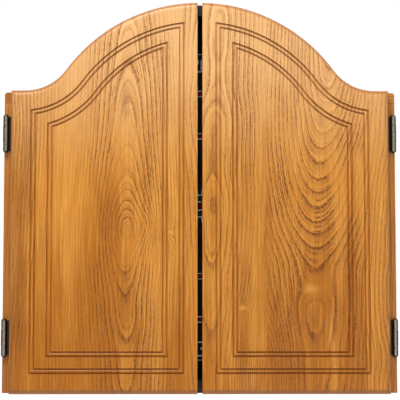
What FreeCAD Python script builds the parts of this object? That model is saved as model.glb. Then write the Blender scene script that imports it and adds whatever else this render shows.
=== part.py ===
import FreeCAD, Part
import math
import os
import Sketcher
from FreeCAD import Placement, Rotation, Vector

# A dart board cabinet: a shallow wooden box with an arched top, a round dart board hung on its
# back panel, and two arched doors on butt hinges.
# Origin: on the wall plane, straight behind the bull's-eye. +X right, +Y into the wall, +Z up.

doc = FreeCAD.newDocument("dart_board_cabinet")

# ---- driving dimensions, in millimetres ----

dimensions = {
    # the box
    "box_width": 568, "box_depth": 80, "box_bottom": -271, "side_board": 15, "bottom_board": 18,
    "top_board": 16, "back_board": 9, "door_overhang": 1.25, "end_rounding": 4,
    # the arch that doors, top board and back panel share
    "arch_radius": 239.5, "arch_centre": 54.8, "cove_radius": 73, "shoulder_level": 165,
    # the doors
    "door_outer": 273, "door_meeting": 3.5, "door_bottom": -272, "door_board": 18,
    "leaf_gap": 2.5, "door_rounding": 9, "meeting_easing": 0.8,
    # the two beaded grooves in each door
    "groove_inset": 33, "groove_meeting_inset": 23, "groove_spacing": 24, "groove_half": 4.2,
    "quirk_depth": 2.4, "quirk_floor": 0.5, "bead_half": 2.5, "bead_crown": 0.3, "cutter_rise": 1,
    # the hinges
    "hinge_axis_out": 281.2, "hinge_axis_front": 4.6, "knuckle_radius": 4.1, "pin_radius": 1.5,
    "middle_knuckle_radius": 4.3, "pin_clearance": 0.04, "leaf_board": 1.1, "hinge_length": 50,
    "middle_knuckle": 24, "knuckle_gap": 0.3, "box_leaf_reach": 11.2, "door_leaf_reach": 28,
    "leaf_notch": 4.6, "finial_radius": 3.9, "finial_rise": 3, "upper_hinge": 103,
    "lower_hinge": -192, "leaf_screw_spread": 16, "leaf_screw_radius": 1.5, "leaf_screw_head": 2.9,
    "box_leaf_screw_across": 273.4, "door_leaf_screw_across": 263.5, "box_leaf_screw_length": 16,
    "door_leaf_screw_length": 12, "sink_clearance": 0.1,
    # the dart board
    "board_radius": 225.5, "band_sheet": 1, "board_standoff": 8, "backing_board": 6,
    "sisal_depth": 31, "band_lip": 0.6, "bull_wire": 6.35, "outer_bull_wire": 15.9,
    "treble_inside": 99, "treble_outside": 107, "double_inside": 162, "double_outside": 170,
    "wire_width": 1.2, "wire_rise": 1.1,
    # its number ring
    "ring_wire_radius": 199, "ring_wire": 1.6, "digit_height": 19.5, "digit_width": 11,
    "digit_space": 4.5, "ring_clearance": 0.3,
    # the U bracket and the centre screw it catches
    "bracket_sheet": 1.5, "bracket_half": 22, "bracket_height": 40, "bracket_foot": 26,
    "bracket_play": 0.6, "bracket_clearance": 0.05, "bracket_hole": 1.9,
    "bracket_screw_radius": 1.6, "bracket_screw_head": 3.4, "bracket_screw_length": 8,
    "bracket_screw_rise": 12, "board_screw_radius": 2.75, "board_screw_head": 5.5,
    "board_screw_head_rise": 2.6, "board_screw_bite": 9, "head_play": 0.2,
    # the spring clips over the number ring, and the feet on the board's back
    "clip_width": 5, "clip_sheet": 1.2, "clip_tip": 5, "clip_tip_sheet": 1, "clip_depth": 8,
    "clip_inside": 3.2, "foot_radius": 9, "foot_flange_radius": 12, "foot_flange": 2,
    "foot_circle": 175, "foot_clearance": 0.4,
    # scoreboards, dart racks and catches on the doors
    "score_near": 36, "score_far": 240, "score_low": -205, "score_top": 105, "score_board": 3,
    "score_frame": 10, "score_frame_board": 6, "rack_near": 95, "rack_far": 205, "rack_depth": 20,
    "rack_low": -249, "rack_height": 13, "rack_hole_radius": 3.25, "rack_hole_pitch": 30,
    "score_screw_margin": 8, "score_screw_radius": 1.3, "score_screw_head": 2.9,
    "score_screw_length": 11, "rack_screw_margin": 8, "rack_screw_radius": 1.6,
    "rack_screw_head": 3.2, "rack_screw_length": 30,
    "catch_near": 25, "catch_far": 65, "catch_height": 13, "catch_depth": 13.6,
    "catch_gap": 0.4, "magnet_half": 12, "magnet_depth": 9, "magnet_low": 3, "magnet_top": 10,
    "magnet_proud": 0.3, "catch_screw_margin": 4, "catch_screw_radius": 1.3,
    "catch_screw_head": 2.7, "catch_screw_length": 21, "strike_sheet": 1.2, "strike_half": 16,
    "strike_low": 1.5, "strike_top": 11.5, "strike_screw_radius": 1.2, "strike_screw_head": 2.6,
    "strike_screw_length": 10, "bumper_radius": 5, "bumper_rise": 2.2, "bumper_out": 250,
    "bumper_rounding": 0.8,
    # the holes for the wall screws
    "wall_hole_radius": 3, "wall_hole_span": 406.4, "wall_hole_rise": 370, "wall_hole_level": -45,
}

dim = doc.addObject("Spreadsheet::Sheet", "dim")
for row, (alias, number) in enumerate(dimensions.items(), start=1):
    dim.set(f"A{row}", alias)
    dim.set(f"B{row}", str(number))
    dim.setAlias(f"B{row}", alias)
doc.recompute()


def value(expression):
    """The number an expression on the sheet's aliases stands for."""
    result = dim.evalExpression(str(expression))
    return float(getattr(result, "Value", result))


# ---- levels that several pieces share, as expressions ----

box_half = "dim.box_width / 2"
box_front = "-dim.box_depth"
door_back = "-(dim.box_depth + dim.leaf_gap)"
door_front = "-(dim.box_depth + dim.leaf_gap + dim.door_board)"
board_back = "-(dim.back_board + dim.board_standoff)"
sisal_back = "-(dim.back_board + dim.board_standoff + dim.backing_board)"
bracket_front = f"({board_back}) + dim.bracket_play"
board_face = "-(dim.back_board + dim.board_standoff + dim.backing_board + dim.sisal_depth)"
floor_top = "dim.box_bottom + dim.bottom_board"
box_shoulder = "dim.shoulder_level - dim.door_overhang"
hinge_front = "-(dim.box_depth + dim.hinge_axis_front)"
sides = {"left": -1, "right": 1}
tiny = 0.01
hinge_levels = {"upper": "dim.upper_hinge", "lower": "dim.lower_hinge"}

nodes = []


def keep(item, label):
    """Mark an object as a finished sub-part under its own label."""
    item.Label = label
    nodes.append(item)
    return item


# ---- Part primitives bound to the sheet ----

def low_high(pair):
    """A pair of expressions with the smaller value first."""
    return pair if value(pair[0]) <= value(pair[1]) else (pair[1], pair[0])


def block(name, x, y, z):
    box = doc.addObject("Part::Box", name)
    for prop, axis, pair in (("Length", "x", x), ("Width", "y", y), ("Height", "z", z)):
        low, high = low_high(pair)
        box.setExpression(prop, f"({high}) - ({low})")
        box.setExpression(f".Placement.Base.{axis}", low)
    return box


turned_to = {"x": Rotation(Vector(0, 1, 0), 90), "-y": Rotation(Vector(1, 0, 0), 90),
             "y": Rotation(Vector(1, 0, 0), -90), "z": Rotation()}


def place(item, centre, axis):
    item.Placement = Placement(Vector(), turned_to[axis])
    for letter, expression in zip("xyz", centre):
        item.setExpression(f".Placement.Base.{letter}", expression)
    return item


def rod(name, centre, axis, radius, length):
    cylinder = doc.addObject("Part::Cylinder", name)
    cylinder.setExpression("Radius", radius)
    cylinder.setExpression("Height", length)
    return place(cylinder, centre, axis)


def cone(name, centre, axis, base_radius, tip_radius, length):
    frustum = doc.addObject("Part::Cone", name)
    frustum.setExpression("Radius1", base_radius)
    frustum.setExpression("Radius2", tip_radius)
    frustum.setExpression("Height", length)
    return place(frustum, centre, axis)


def fuse(name, shapes):
    joined = doc.addObject("Part::MultiFuse", name)
    joined.Shapes = shapes
    return joined


def cut(name, base, tool):
    result = doc.addObject("Part::Cut", name)
    result.Base = base
    result.Tool = tool
    return result


def feature(label, shape, placement=Placement()):
    """A sub-part whose shape is made with Part's own functions."""
    item = doc.addObject("Part::Feature", label)
    item.Shape = shape
    item.Placement = placement
    return keep(item, label)


# ---- PartDesign helpers ----

def origin_plane(body, role):
    return next(item for item in body.Origin.OriginFeatures if item.Role == role)


def new_sketch(body, name, role, lift):
    """A sketch on one of the body's own origin planes, lifted along that plane's normal."""
    sketch = body.newObject("Sketcher::SketchObject", name)
    sketch.AttachmentSupport = [(origin_plane(body, role), "")]
    sketch.MapMode = "FlatFace"
    sketch.setExpression(".AttachmentOffset.Base.z", lift)
    return sketch


def bind(sketch, kind, geometry, point, expression):
    """Pin a point's coordinate, or a radius, to an expression on the sheet."""
    number = value(expression)
    if point is None:
        index = sketch.addConstraint(Sketcher.Constraint(kind, geometry, number))
    else:
        index = sketch.addConstraint(Sketcher.Constraint(kind, geometry, point, number))
    sketch.setExpression(f"Constraints[{index}]", expression)


def close_loop(sketch, first, count):
    """Join the end of each of the loop's pieces to the start of the next."""
    for step in range(count):
        here, following = first + step, first + (step + 1) % count
        sketch.addConstraint(Sketcher.Constraint("Coincident", here, 2, following, 1))


def circle(sketch, x, y, radius):
    index = sketch.addGeometry(Part.Circle(Vector(value(x), value(y), 0), Vector(0, 0, 1), value(radius)))
    bind(sketch, "DistanceX", index, 3, x)
    bind(sketch, "DistanceY", index, 3, y)
    bind(sketch, "Radius", index, None, radius)


def pad(body, sketch, length, name):
    feature_pad = body.newObject("PartDesign::Pad", name)
    feature_pad.Profile = sketch
    feature_pad.setExpression("Length", length)
    return feature_pad


def pocket(body, sketch, name):
    """A pocket right through the body, both ways from its sketch, that must remove something."""
    doc.recompute()
    before = body.Shape.Volume
    feature_pocket = body.newObject("PartDesign::Pocket", name)
    feature_pocket.Profile = sketch
    feature_pocket.Type = "ThroughAll"
    feature_pocket.Midplane = True
    doc.recompute()
    if body.Shape.Volume >= before:
        raise RuntimeError(f"{name} cuts nothing")
    return feature_pocket


def edges_where(shape, test):
    return [f"Edge{n}" for n, edge in enumerate(shape.Edges, start=1) if test(edge)]


def fillet(body, base, names, radius, name):
    rounding = body.newObject("PartDesign::Fillet", name)
    rounding.Base = (base, names)
    rounding.setExpression("Radius", radius)
    return rounding


# ---- the arched outline ----

def arch_points(inset, near, far):
    """Points of the arched outline for x from near to far, both positive, moved in by inset.

    The arch is one round arc about the middle, which runs into a hollow cove, and the cove
    ends in a level shoulder. Where far falls inside the cove, there is no shoulder.
    """
    crown = value(f"dim.arch_radius - ({inset})")
    cove = value(f"dim.cove_radius + ({inset})")
    centre = value("dim.arch_centre")
    cove_level = value("dim.shoulder_level + dim.cove_radius")
    cove_out = math.sqrt((crown + cove) ** 2 - (cove_level - centre) ** 2)
    turn = crown / (crown + cove)
    points = {
        "cove_centre": Vector(cove_out, cove_level, 0),
        "inflection": Vector(cove_out * turn, centre + (cove_level - centre) * turn, 0),
        "crown": Vector(value(near), centre + math.sqrt(crown ** 2 - value(near) ** 2), 0),
    }
    reach = min(value(far), cove_out)
    points["cove_end"] = Vector(reach, cove_level - math.sqrt(cove ** 2 - (cove_out - reach) ** 2), 0)
    points["crown_radius"] = crown
    points["cove_radius"] = cove
    return points


def arc(centre, radius, start, end):
    """An arc about centre, anticlockwise from the direction of start to that of end."""
    angles = [math.atan2(p.y - centre.y, p.x - centre.x) for p in (start, end)]
    return Part.ArcOfCircle(Part.Circle(centre, Vector(0, 0, 1), radius), angles[0], angles[1])


def mirrored(point, side):
    return Vector(side * point.x, point.y, 0)


def arch_edges(side, inset, near, far):
    """The arch's curved edges on one side, from its far end to the middle: cove, then crown."""
    points = arch_points(inset, near, far)
    cove_centre = mirrored(points["cove_centre"], side)
    crown_centre = Vector(0, value("dim.arch_centre"), 0)
    cove_end, inflection, crown = (mirrored(points[k], side) for k in ("cove_end", "inflection", "crown"))
    if side > 0:
        cove_arc = arc(cove_centre, points["cove_radius"], inflection, cove_end)
        crown_arc = arc(crown_centre, points["crown_radius"], inflection, crown)
    else:
        cove_arc = arc(cove_centre, points["cove_radius"], cove_end, inflection)
        crown_arc = arc(crown_centre, points["crown_radius"], crown, inflection)
    return cove_arc, crown_arc, cove_end, crown


def half_outline(side, inset, near, far, low):
    """One door-shaped loop: along the bottom, up the outside, over the arch, down the middle."""
    cove_arc, crown_arc, cove_end, crown = arch_edges(side, inset, near, far)
    inner, outer, bottom = side * value(near), side * value(far), value(low)
    middle = Vector((inner + outer) / 2, bottom, 0)
    pieces = [Part.LineSegment(middle, Vector(outer, bottom, 0)),
              Part.LineSegment(Vector(outer, bottom, 0), Vector(outer, cove_end.y, 0))]
    if abs(outer - cove_end.x) > tiny:
        pieces.append(Part.LineSegment(Vector(outer, cove_end.y, 0), cove_end))
    pieces += [cove_arc, crown_arc, Part.LineSegment(crown, Vector(inner, bottom, 0)),
               Part.LineSegment(Vector(inner, bottom, 0), middle)]
    return pieces


def hold_radii(sketch, pieces, inset):
    """Bind the radii and centres of an outline's arcs to the sheet."""
    arcs = [n for n, piece in enumerate(pieces) if isinstance(piece, Part.ArcOfCircle)]
    for index in arcs:
        centre = pieces[index].Center
        if abs(centre.x) < tiny:
            bind(sketch, "Radius", index, None, f"dim.arch_radius - ({inset})")
            bind(sketch, "DistanceY", index, 3, "dim.arch_centre")
        else:
            bind(sketch, "Radius", index, None, f"dim.cove_radius + ({inset})")
            bind(sketch, "DistanceY", index, 3, "dim.shoulder_level + dim.cove_radius")


# ---- the box ----

def side_board(word, side):
    keep(block(f"{word}_side", (f"{side} * {box_half}", f"{side} * ({box_half} - dim.side_board)"),
               (box_front, "0"), ("dim.box_bottom", f"{box_shoulder} - dim.top_board")), f"{word}_side")


def bottom_board():
    inside = f"({box_half} - dim.side_board)"
    keep(block("bottom_board", (f"-{inside}", inside), (box_front, "0"),
               ("dim.box_bottom", floor_top)), "bottom_board")


def arch_loop(inset, far):
    """The arch from right to left as a list of edges, with level ends out to far."""
    right = arch_edges(1, inset, "0", far)
    left = arch_edges(-1, inset, "0", far)
    reach = value(far)
    return [Part.LineSegment(Vector(reach, right[2].y, 0), right[2]), right[0], right[1],
            left[1], left[0], Part.LineSegment(left[2], Vector(-reach, left[2].y, 0))]


def arched_top():
    """The bent top board: one arch inside another, with its ends lapped over the sides."""
    body = doc.addObject("PartDesign::Body", "arched_top")
    sketch = new_sketch(body, "top_outline", "XZ_Plane", "0")
    outer = arch_loop("dim.door_overhang", box_half)
    inner = arch_loop("dim.door_overhang + dim.top_board", box_half)
    outer_level, inner_level = value(box_shoulder), value(f"{box_shoulder} - dim.top_board")
    reach = value(box_half)
    ends = [Part.LineSegment(Vector(side * reach, inner_level, 0), Vector(side * reach, outer_level, 0))
            for side in (1, -1)]
    pieces = outer + inner + ends
    sketch.addGeometry(pieces)
    hold_radii(sketch, outer, "dim.door_overhang")
    board = pad(body, sketch, "dim.box_depth", "top_board_pad")
    doc.recompute()

    def outer_corner(edge):
        middle = edge.CenterOfMass
        return abs(abs(middle.x) - reach) < tiny and abs(middle.z - outer_level) < tiny

    fillet(body, board, edges_where(board.Shape, outer_corner), "dim.end_rounding", "end_roundings")
    keep(body, "arched_top")


def back_panel():
    """The back panel fills the box's rear opening and has the four holes for the wall screws."""
    body = doc.addObject("PartDesign::Body", "back_panel")
    sketch = new_sketch(body, "back_outline", "XZ_Plane", "0")
    inset = "dim.door_overhang + dim.top_board"
    reach, low = value(f"{box_half} - dim.side_board"), value(floor_top)
    arch = arch_loop(inset, f"{box_half} - dim.side_board")
    level = value(f"{box_shoulder} - dim.top_board")
    corners = [Vector(-reach, level, 0), Vector(-reach, low, 0), Vector(reach, low, 0), Vector(reach, level, 0)]
    pieces = arch + [Part.LineSegment(a, b) for a, b in zip(corners, corners[1:])]
    sketch.addGeometry(pieces)
    hold_radii(sketch, pieces, inset)
    pad(body, sketch, "dim.back_board", "back_board_pad")
    holes = new_sketch(body, "wall_holes", "XZ_Plane", "0")
    for across in (-1, 1):
        for along in (-1, 1):
            circle(holes, f"{across} * dim.wall_hole_span / 2",
                   f"dim.wall_hole_level + {along} * dim.wall_hole_rise / 2", "dim.wall_hole_radius")
    pocket(body, holes, "wall_hole_pocket")
    keep(body, "back_panel")


# ---- the doors ----

def groove(body, side, inset, meeting_inset, name):
    """A bead between two quirks, swept round a smaller copy of the door's outline."""
    path = new_sketch(body, f"{name}_path", "XZ_Plane", f"-({door_front})")
    pieces = half_outline(side, inset, f"dim.door_meeting + {meeting_inset}",
                          f"dim.door_outer - ({inset})", f"dim.door_bottom + {inset}")
    path.addGeometry(pieces)
    hold_radii(path, pieces, inset)

    start = pieces[0].StartPoint
    section = body.newObject("Sketcher::SketchObject", f"{name}_section")
    section.AttachmentSupport = [(origin_plane(body, "YZ_Plane"), "")]
    section.MapMode = "FlatFace"
    section.AttachmentOffset = Placement(Vector(0, 0, start.x), Rotation())
    face, level = value(door_front), start.y
    half, floor, bead = (value(f"dim.{k}") for k in ("groove_half", "quirk_floor", "bead_half"))
    depth, crown, rise = (value(f"dim.{k}") for k in ("quirk_depth", "bead_crown", "cutter_rise"))

    def at(across, into):
        return Vector(face + into, level + across, 0)

    rim = [at(-bead, depth), at(-bead - floor, depth), at(-half, 0), at(-half, -rise),
           at(half, -rise), at(half, 0), at(bead + floor, depth), at(bead, depth)]
    section.addGeometry([Part.LineSegment(a, b) for a, b in zip(rim, rim[1:])])
    section.addGeometry(Part.Arc(rim[-1], at(0, crown), rim[0]))
    doc.recompute()
    before = body.Shape.Volume
    sweep = body.newObject("PartDesign::SubtractivePipe", name)
    sweep.Profile = section
    sweep.Spine = (path, [])
    sweep.Transition = "Right corner"
    doc.recompute()
    if not body.Shape.Volume < before:
        raise RuntimeError(f"{name} cuts nothing")
    return sweep


def door(word, side):
    """One solid wooden door: flat slab, rounded outer edges, two grooves that follow its outline."""
    body = doc.addObject("PartDesign::Body", f"{word}_door")
    sketch = new_sketch(body, f"{word}_outline", "XZ_Plane", f"-({door_back})")
    pieces = half_outline(side, "0", "dim.door_meeting", "dim.door_outer", "dim.door_bottom")
    sketch.addGeometry(pieces)
    hold_radii(sketch, pieces, "0")
    slab = pad(body, sketch, "dim.door_board", f"{word}_slab")
    doc.recompute()
    front, meeting = value(door_front), value("dim.door_meeting")

    def on_front(edge):
        return abs(edge.CenterOfMass.y - front) < tiny

    def on_meeting(edge):
        return abs(abs(edge.CenterOfMass.x) - meeting) < tiny

    rounded = edges_where(slab.Shape, lambda edge: on_front(edge) and not on_meeting(edge))
    rounding = fillet(body, slab, rounded, "dim.door_rounding", f"{word}_rounding")
    doc.recompute()
    eased = edges_where(rounding.Shape, lambda edge: on_front(edge) and on_meeting(edge))
    fillet(body, rounding, eased, "dim.meeting_easing", f"{word}_easing")
    doc.recompute()
    groove(body, side, "dim.groove_inset", "dim.groove_meeting_inset", f"{word}_outer_groove")
    groove(body, side, "dim.groove_inset + dim.groove_spacing",
           "dim.groove_meeting_inset + dim.groove_spacing", f"{word}_inner_groove")
    keep(body, f"{word}_door")


# ---- screws ----

def screw(foot, outward, shank_radius, head_radius, length, countersunk):
    """A cross-recess screw. foot is where the underside of its head meets the work (or, when
    countersunk, where its flat top lies flush), and outward is the way its head faces."""
    head = 0.62 * head_radius
    if countersunk:
        head = head_radius - shank_radius
        profile = [(0, 0), (head_radius, 0), (shank_radius, -head)]
        top = 0
    else:
        profile = [(0, head), (0.55 * head_radius, head), (0.9 * head_radius, 0.62 * head), (head_radius, 0)]
        profile.append((shank_radius, 0))
        top = head
    tip = -length
    profile += [(shank_radius, tip + 2 * shank_radius), (0.25 * shank_radius, tip), (0, tip)]
    points = [Vector(r, 0, level) for r, level in profile]
    face = Part.Face(Part.makePolygon(points + points[:1]))
    body = face.revolve(Vector(), Vector(0, 0, 1), 360)
    reach, width, depth = 1.1 * head_radius, 0.26 * head_radius, 0.42 * head_radius
    for size_x, size_y in ((reach, width), (width, reach)):
        corner = Vector(-size_x / 2, -size_y / 2, top - depth)
        body = body.cut(Part.makeBox(size_x, size_y, 2 * depth, corner))
    body.Placement = Placement(foot, Rotation(Vector(0, 0, 1), outward))
    return body


def screws(label, feet, outward, shank, head, length, countersunk=False):
    """A group of equal screws as one sub-part of separate solids."""
    sizes = [value(k) for k in (shank, head, length)]
    solids = [screw(foot, outward, sizes[0], sizes[1], sizes[2], countersunk) for foot in feet]
    return feature(label, Part.makeCompound(solids))


# ---- the hinges ----

def hinge_zones():
    """The three knuckles' spans along the barrel, from its middle: (low, high) expressions."""
    half, middle = "dim.hinge_length / 2", "dim.middle_knuckle / 2"
    return {"bottom": (f"-{half}", f"-({middle} + dim.knuckle_gap)"), "middle": (f"-{middle}", middle),
            "top": (f"{middle} + dim.knuckle_gap", half)}


def leaf_screw_places(side, level, across):
    """Where a leaf's two screws go, at across from the middle of the cabinet."""
    spread = value("dim.leaf_screw_spread")
    return [(side * across, value(level) + step * spread) for step in (-1, 1)]


def hinge_leaf(label, side, level, kind):
    """A leaf with its knuckles. The box leaf has the two end knuckles, the door leaf the middle one."""
    axis_x, axis_y = f"{side} * dim.hinge_axis_out", hinge_front
    if kind == "box":
        near_y, far_y = f"{box_front} - dim.leaf_board", box_front
        reach, zones, knuckle = "dim.box_leaf_reach", ("bottom", "top"), "dim.knuckle_radius"
    else:
        near_y, far_y = door_back, f"{door_back} + dim.leaf_board"
        reach, zones, knuckle = "dim.door_leaf_reach", ("middle",), "dim.middle_knuckle_radius"
    notch = f"{side} * (dim.hinge_axis_out - dim.leaf_notch)"
    end = f"{side} * (dim.hinge_axis_out - {reach})"
    spans = hinge_zones()
    half = "dim.hinge_length / 2"
    solids = [block(f"{label}_plate", (end, notch), (near_y, far_y),
                    (f"{level} - {half}", f"{level} + {half}"))]
    for zone in zones:
        low, high = spans[zone]
        span = (f"{level} + ({low})", f"{level} + ({high})")
        solids.append(block(f"{label}_{zone}_tongue", (notch, axis_x), (near_y, far_y), span))
        solids.append(rod(f"{label}_{zone}_knuckle", (axis_x, axis_y, span[0]), "z",
                          knuckle, f"({high}) - ({low})"))
    tools = [rod(f"{label}_bore", (axis_x, axis_y, f"{level} - dim.hinge_length"), "z",
                 "dim.pin_radius + dim.pin_clearance", "2 * dim.hinge_length")]
    across = value(leaf_screw_across[kind])
    direction = "y" if kind == "box" else "-y"
    mouth = near_y if kind == "box" else far_y
    for number, (x, z) in enumerate(leaf_screw_places(side, level, across)):
        tools.append(cone(f"{label}_sink_{number}", (str(x), mouth, str(z)), direction,
                          "dim.leaf_screw_head + dim.sink_clearance",
                          "dim.leaf_screw_radius + dim.sink_clearance",
                          "dim.leaf_screw_head - dim.leaf_screw_radius"))
    keep(cut(label, fuse(f"{label}_solid", solids), fuse(f"{label}_tools", tools)), label)


leaf_screw_across = {"box": "dim.box_leaf_screw_across", "door": "dim.door_leaf_screw_across"}


def hinge_pin(label, side, level):
    """The pin with a tapered, rounded finial at each end."""
    half, radius = value("dim.hinge_length / 2"), value("dim.pin_radius")
    finial, rise = value("dim.finial_radius"), value("dim.finial_rise")
    top = -half - value("dim.pin_clearance")
    profile = [(0, -half - rise), (0.45 * finial, -half - 0.9 * rise), (0.78 * finial, -half - 0.6 * rise),
               (0.95 * finial, -half - 0.25 * rise), (finial, top), (radius, top)]
    profile += [(r, -level_z) for r, level_z in reversed(profile)]
    points = [Vector(r, 0, along) for r, along in profile]
    shape = Part.Face(Part.makePolygon(points + points[:1])).revolve(Vector(), Vector(0, 0, 1), 360)
    axis_x = side * value("dim.hinge_axis_out")
    feature(label, shape, Placement(Vector(axis_x, value(hinge_front), value(level)), Rotation()))


def hinges():
    box_feet = []
    for word, side in sides.items():
        door_feet = []
        for place_word, level in hinge_levels.items():
            hinge_leaf(f"{word}_{place_word}_box_leaf", side, level, "box")
            hinge_leaf(f"{word}_{place_word}_door_leaf", side, level, "door")
            hinge_pin(f"{word}_{place_word}_hinge_pin", side, level)
            for kind, feet, face in (("box", box_feet, f"{box_front} - dim.leaf_board"),
                                     ("door", door_feet, f"{door_back} + dim.leaf_board")):
                across = value(leaf_screw_across[kind])
                feet += [Vector(x, value(face), z) for x, z in leaf_screw_places(side, level, across)]
        screws(f"{word}_door_leaf_screws", door_feet, Vector(0, 1, 0), "dim.leaf_screw_radius",
               "dim.leaf_screw_head", "dim.door_leaf_screw_length", countersunk=True)
    screws("box_leaf_screws", box_feet, Vector(0, -1, 0), "dim.leaf_screw_radius",
           "dim.leaf_screw_head", "dim.box_leaf_screw_length", countersunk=True)


# ---- the dart board ----

def disc(label, back, front, radius, hole="0"):
    """A round plate about the board's axis, with a hole where one is given."""
    body = doc.addObject("PartDesign::Body", label)
    sketch = new_sketch(body, f"{label}_outline", "XZ_Plane", f"-({back})")
    circle(sketch, "0", "0", radius)
    if value(hole) > 0:
        circle(sketch, "0", "0", hole)
    pad(body, sketch, f"({back}) - ({front})", f"{label}_pad")
    return keep(body, label)


def wire_grid():
    """The wire rings and twenty radial wires that bound the beds: a welded grid and the bull's ring."""
    width, rise = value("dim.wire_width"), value("dim.wire_rise")
    face = value(board_face)
    towards = Vector(0, -1, 0)
    start = Vector(0, face, 0)
    solids = []
    for word in ("bull_wire", "outer_bull_wire", "treble_inside", "treble_outside", "double_inside",
                 "double_outside"):
        radius = value(f"dim.{word}")
        outer = Part.makeCylinder(radius + width / 2, rise, start, towards)
        solids.append(outer.cut(Part.makeCylinder(radius - width / 2, rise, start, towards)))
    low, high = value("dim.outer_bull_wire"), value("dim.double_outside")
    for number in range(20):
        spoke = Part.makeBox(width, rise, high - low, Vector(-width / 2, face - rise, low))
        spoke.rotate(Vector(), Vector(0, 1, 0), 9 + 18 * number)
        solids.append(spoke)
    bull, rest = solids[0], solids[1:]
    feature("wire_spider", rest[0].multiFuse(rest[1:]).removeSplitter())
    feature("bull_wire_ring", bull)


# Each figure as bent wire in a box one high and 0.56 wide; True where the wire closes on itself.
figure_wires = {
    "0": [(True, [(0, 0.2), (0, 0.8), (0.14, 1), (0.42, 1), (0.56, 0.8), (0.56, 0.2), (0.42, 0), (0.14, 0)])],
    "1": [(False, [(0.12, 0.78), (0.3, 1), (0.3, 0)])],
    "2": [(False, [(0, 0.78), (0.12, 1), (0.44, 1), (0.56, 0.82), (0.56, 0.62), (0, 0), (0.56, 0)])],
    "3": [(False, [(0, 0.84), (0.14, 1), (0.42, 1), (0.56, 0.84), (0.56, 0.64), (0.36, 0.52), (0.56, 0.38),
                   (0.56, 0.16), (0.42, 0), (0.14, 0), (0, 0.16)])],
    "4": [(False, [(0.4, 0), (0.4, 1), (0, 0.32)]), (False, [(0, 0.32), (0.56, 0.32)])],
    "5": [(False, [(0.52, 1), (0.06, 1), (0, 0.56), (0.38, 0.6), (0.56, 0.44), (0.56, 0.16), (0.42, 0),
                   (0.12, 0), (0, 0.14)])],
    "6": [(True, [(0, 0.46), (0, 0.14), (0.14, 0), (0.42, 0), (0.56, 0.14), (0.56, 0.4), (0.42, 0.54),
                  (0.14, 0.54)]),
          (False, [(0.5, 1), (0.16, 0.8), (0, 0.46)])],
    "7": [(False, [(0, 1), (0.56, 1), (0.2, 0)])],
    "8": [(True, [(0.14, 0.53), (0, 0.67), (0, 0.87), (0.14, 1), (0.42, 1), (0.56, 0.87), (0.56, 0.67),
                  (0.42, 0.53)]),
          (True, [(0.14, 0.53), (0, 0.38), (0, 0.14), (0.14, 0), (0.42, 0), (0.56, 0.14), (0.56, 0.38),
                  (0.42, 0.53)])],
    "9": [(True, [(0.56, 0.54), (0.56, 0.86), (0.42, 1), (0.14, 1), (0, 0.86), (0, 0.6), (0.14, 0.46),
                  (0.42, 0.46)]),
          (False, [(0.06, 0), (0.4, 0.2), (0.56, 0.54)])],
}
numbers = [20, 1, 18, 4, 13, 6, 10, 15, 2, 17, 3, 19, 7, 16, 8, 11, 14, 9, 12, 5]


def figure_face(closed, points, width):
    """The flat outline of a bent wire of the given width along the points."""
    if closed:
        path = Part.makePolygon(points + points[:1])
        outer = path.makeOffset2D(width / 2, join=0)
        inner = path.makeOffset2D(-width / 2, join=0)
        return Part.Face(outer).cut(Part.Face(inner))
    if len(points) == 2:
        along = (points[1] - points[0]).normalize() * (width / 2)
        across = Vector(-along.y, along.x, 0)
        ends = points[0] - along, points[1] + along
        corners = [ends[0] + across, ends[0] - across, ends[1] - across, ends[1] + across]
        return Part.Face(Part.makePolygon(corners + corners[:1]))
    return Part.Face(Part.makePolygon(points).makeOffset2D(width / 2, join=0, openResult=False))


def number_ring():
    """A wire circle that carries the twenty plain numbers, each readable from the front."""
    wire, height = value("dim.ring_wire"), value("dim.digit_height")
    digit, space, radius = (value(f"dim.{k}") for k in ("digit_width", "digit_space", "ring_wire_radius"))
    back = value(f"{board_face} - dim.ring_clearance")
    ring = Part.makeCylinder(radius + wire / 2, wire, Vector())
    ring = ring.cut(Part.makeCylinder(radius - wire / 2, wire, Vector()))
    solids = []
    for place_number, number in enumerate(numbers):
        angle = 90 - 18 * place_number
        upside_down = 5 < place_number < 15
        text = str(number)
        span = len(text) * digit + (len(text) - 1) * space
        faces = []
        for spot, character in enumerate(text):
            left = spot * (digit + space) - span / 2
            for closed, points in figure_wires[character]:
                placed = [Vector(left + u / 0.56 * digit, v * height, 0) for u, v in points]
                faces.append(figure_face(closed, placed, wire))
        for face in faces:
            if upside_down:
                face = face.copy()
                face.rotate(Vector(0, height / 2, 0), Vector(0, 0, 1), 180)
            solid = face.extrude(Vector(0, 0, wire))
            solid.translate(Vector(0, radius, 0))
            solid.rotate(Vector(), Vector(0, 0, 1), angle - 90)
            solids.append(solid)
    whole = ring.multiFuse(solids)
    feature("number_ring", whole, Placement(Vector(0, back, 0), Rotation(Vector(1, 0, 0), 90)))


def ring_clips():
    """Four spring clips pushed into the sisal inside the ring, whose tips reach over its wire."""
    lift = value("dim.ring_wire + 2 * dim.ring_clearance")
    width, sheet, tip_sheet = (value(f"dim.{k}") for k in ("clip_width", "clip_sheet", "clip_tip_sheet"))
    front, inside = value(board_face) - lift, value("dim.ring_wire_radius - dim.clip_inside")
    solids = []
    for number in range(4):
        tip = Part.makeBox(width, tip_sheet, value("dim.clip_tip"),
                           Vector(-width / 2, front - tip_sheet, inside))
        leg = Part.makeBox(width, lift + value("dim.clip_depth"), sheet, Vector(-width / 2, front, inside))
        clip = tip.fuse(leg).removeSplitter()
        clip.rotate(Vector(), Vector(0, 1, 0), 45 + 90 * number)
        solids.append(clip)
    feature("ring_clips", Part.makeCompound(solids))


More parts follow.
